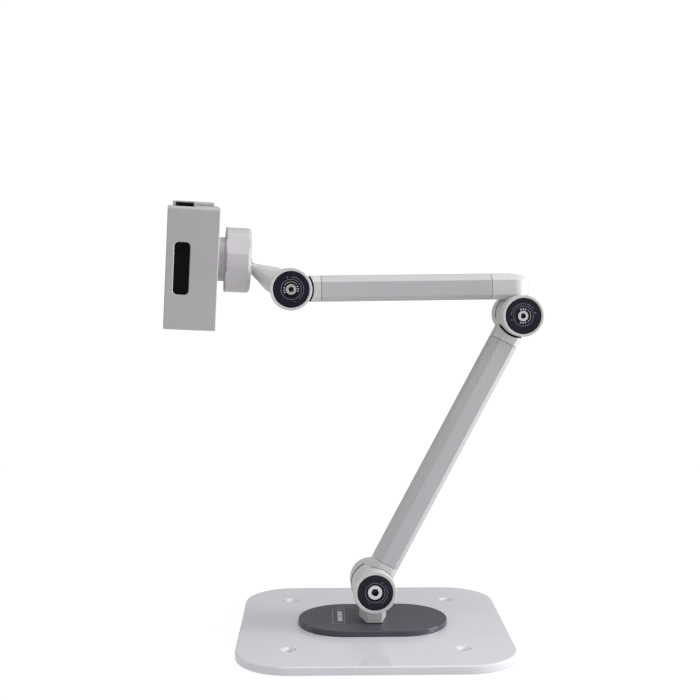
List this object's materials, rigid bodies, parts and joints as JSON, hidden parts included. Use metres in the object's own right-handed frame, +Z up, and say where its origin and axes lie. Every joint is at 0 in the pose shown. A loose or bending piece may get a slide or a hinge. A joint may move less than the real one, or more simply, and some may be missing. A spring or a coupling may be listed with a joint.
{
  "type": "tablet stand",
  "caption": "Desk stand with a weighted square base, a turning post, two folding arms and a ball-joint head whose sprung clamp grips a tablet by its edges.",
  "frame": {"origin": "centre of the base's underside, on the desk", "axes": "+Z up, +X to the right, the tablet faces -X; the post and the arms are turned 2.3 degrees about +Z from the XZ plane"},
  "size_m": [0.269, 0.2289, 0.3069],
  "materials": {
    "white_enamel": "glossy powder coat",
    "base_foam": "matte foam",
    "oval_grey": "satin",
    "casting_paint": "satin",
    "tube_paint": "satin paint",
    "holder_paint": "satin moulded",
    "cap_black": "glossy",
    "steel": "zinc plated",
    "slider_steel": "rolled",
    "bronze": "sintered",
    "washer_black": "graphite filled",
    "nylon": "natural",
    "lining_rubber": "matte"
  },
  "bodies": {
    "base": {"base_pad": "base_foam", "base_plate": "white_enamel", "oval_plate": "oval_grey", "oval_screws": "steel", "swivel_washer": "nylon", "swivel_spring_washer": "steel"},
    "post": {"post_fork": "casting_paint", "swivel_bolt": "steel", "shoulder_bolt": "steel", "shoulder_nut": "steel", "shoulder_near_cap": "cap_black", "shoulder_far_cap": "cap_black", "shoulder_washers": "washer_black"},
    "lower_arm": {"lower_arm_foot": "casting_paint", "lower_arm_tube": "tube_paint", "lower_arm_top": "casting_paint", "lower_arm_screws": "steel", "shoulder_bush": "bronze", "elbow_bush": "bronze"},
    "upper_arm": {"upper_arm_elbow_end": "casting_paint", "upper_arm_tube": "tube_paint", "upper_arm_head_end": "casting_paint", "upper_arm_screws": "steel", "wrist_bush": "bronze", "elbow_bolt": "steel", "elbow_nut": "steel", "elbow_near_cap": "cap_black", "elbow_far_cap": "cap_black", "elbow_washers": "washer_black"},
    "neck": {"neck_fork": "casting_paint", "ball_stud": "steel", "wrist_bolt": "steel", "wrist_nut": "steel", "wrist_near_cap": "cap_black", "wrist_far_cap": "cap_black", "wrist_washers": "washer_black"},
    "ball_liner": {"ball_liner": "nylon"},
    "pressure_cup": {"pressure_cup": "nylon", "wave_washer": "steel"},
    "lock_knob": {"lock_knob": "holder_paint"},
    "holder": {"socket_housing": "holder_paint", "housing_screws": "steel", "holder_back_shell": "holder_paint", "holder_front_shell": "holder_paint", "holder_screws": "steel", "front_pad": "lining_rubber", "clamp_spring_near": "steel", "clamp_spring_far": "steel"},
    "jaw_near": {"jaw_near_bracket": "holder_paint", "jaw_near_lining": "lining_rubber", "jaw_near_slider": "slider_steel"},
    "jaw_far": {"jaw_far_bracket": "holder_paint", "jaw_far_lining": "lining_rubber", "jaw_far_slider": "slider_steel"}
  },
  "joints": [
    {"name": "base_swivel", "type": "hinge", "parent": "base", "child": "post", "pos_m": [0, 0, 0], "axis": [0, 0, 1], "continuous": true},
    {"name": "shoulder", "type": "hinge", "parent": "post", "child": "lower_arm", "pos_m": [0, 0, 0.0332], "axis": [-0.0401, 0.9992, 0], "range_deg": [-55, 40]},
    {"name": "elbow", "type": "hinge", "parent": "lower_arm", "child": "upper_arm", "pos_m": [0.10057, 0.00404, 0.2225], "axis": [0.0401, -0.9992, 0], "range_deg": [-120, 56]},
    {"name": "wrist", "type": "hinge", "parent": "upper_arm", "child": "neck", "pos_m": [-0.05672, -0.00228, 0.24072], "axis": [-0.0401, 0.9992, 0], "range_deg": [-80, 75]},
    {"name": "ball_tilt", "type": "hinge", "parent": "neck", "child": "ball_liner", "pos_m": [-0.09291, -0.00373, 0.26055], "axis": [-0.0401, 0.9992, 0], "range_deg": [-2, 53]},
    {"name": "ball_pan", "type": "hinge", "parent": "ball_liner", "child": "pressure_cup", "pos_m": [-0.09291, -0.00373, 0.26055], "axis": [0.0506, 0.002, 0.9987], "range_deg": [-28, 21]},
    {"name": "holder_spin", "type": "hinge", "parent": "pressure_cup", "child": "holder", "pos_m": [-0.09291, -0.00373, 0.26055], "axis": [0.9923, 0.1132, -0.0505], "continuous": true},
    {"name": "jaw_near_slide", "type": "slide", "parent": "holder", "child": "jaw_near", "axis": [-0.1095, 0.9915, 0.0699], "range_m": [-0.003, 0.042], "deforming": ["clamp_spring_near"]},
    {"name": "jaw_far_slide", "type": "slide", "parent": "holder", "child": "jaw_far", "axis": [0.1095, -0.9915, -0.0699], "range_m": [-0.003, 0.042], "deforming": ["clamp_spring_far"]},
    {"name": "knob_turn", "type": "hinge", "parent": "holder", "child": "lock_knob", "pos_m": [-0.09291, -0.00373, 0.26055], "axis": [0.9923, 0.1132, -0.0505], "range_deg": [0, 60]}
  ]
}
